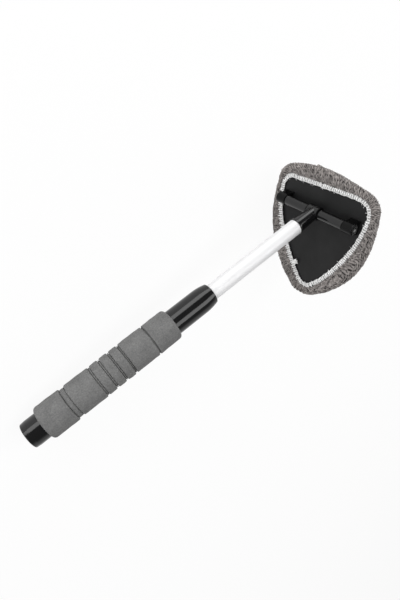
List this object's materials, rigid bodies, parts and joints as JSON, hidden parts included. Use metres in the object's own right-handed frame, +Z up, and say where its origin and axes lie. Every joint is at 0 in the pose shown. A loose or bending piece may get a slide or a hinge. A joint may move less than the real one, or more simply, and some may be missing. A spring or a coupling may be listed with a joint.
{
  "type": "windscreen cleaning wand",
  "caption": "Telescoping windscreen cleaning wand: foam-gripped handle with a twist-locked aluminium pole and a pivoting triangular head in a microfibre bonnet.",
  "frame": {"origin": "middle of the footprint, on the surface that the wand lies on", "axes": "+X from the handle end towards the head, +Z up as it lies on its grip and the left side of its head"},
  "size_m": [0.3721, 0.1326, 0.1344],
  "materials": {
    "handle_tube": "plain extruded plastic",
    "gloss_black": "glossy moulded plastic",
    "satin_black": "satin moulded plastic",
    "white_plastic": "plain moulded nylon",
    "foam": "closed-cell foam, matt with fine pores",
    "pole": "bright anodised",
    "steel": "cut pin end",
    "sponge": "open foam",
    "microfibre": "nubby microfibre pile in rows",
    "hem_thread": "white overlock thread",
    "elastic": "white elastic"
  },
  "bodies": {
    "handle": {"handle_tube": "handle_tube", "end_cap": "gloss_black", "foam_grip": "foam", "front_collar": "gloss_black", "guide_bush": "white_plastic"},
    "cam": {"cam_ring": "white_plastic"},
    "pole": {"pole_tube": "pole", "lock_plug": "satin_black", "yoke": "gloss_black"},
    "head": {"base_plate": "satin_black", "hinge_pin": "steel", "sponge_pad": "sponge", "bonnet": "microfibre", "hem": "hem_thread", "elastic_cord": "elastic"}
  },
  "joints": [
    {"name": "pole_slide", "type": "slide", "parent": "handle", "child": "cam", "axis": [0.9876, 0, 0.1573], "range_m": [-0.0948, 0.0481]},
    {"name": "pole_twist", "type": "hinge", "parent": "cam", "child": "pole", "pos_m": [-0.18426, 0.02933, 0.01268], "axis": [0.9876, 0, 0.1573], "range_deg": [0, 90]},
    {"name": "head_pivot", "type": "hinge", "parent": "pole", "child": "head", "pos_m": [0.15042, 0.02933, 0.06597], "axis": [-0.1549, -0.1736, 0.9726], "range_deg": [-54, 102]}
  ]
}
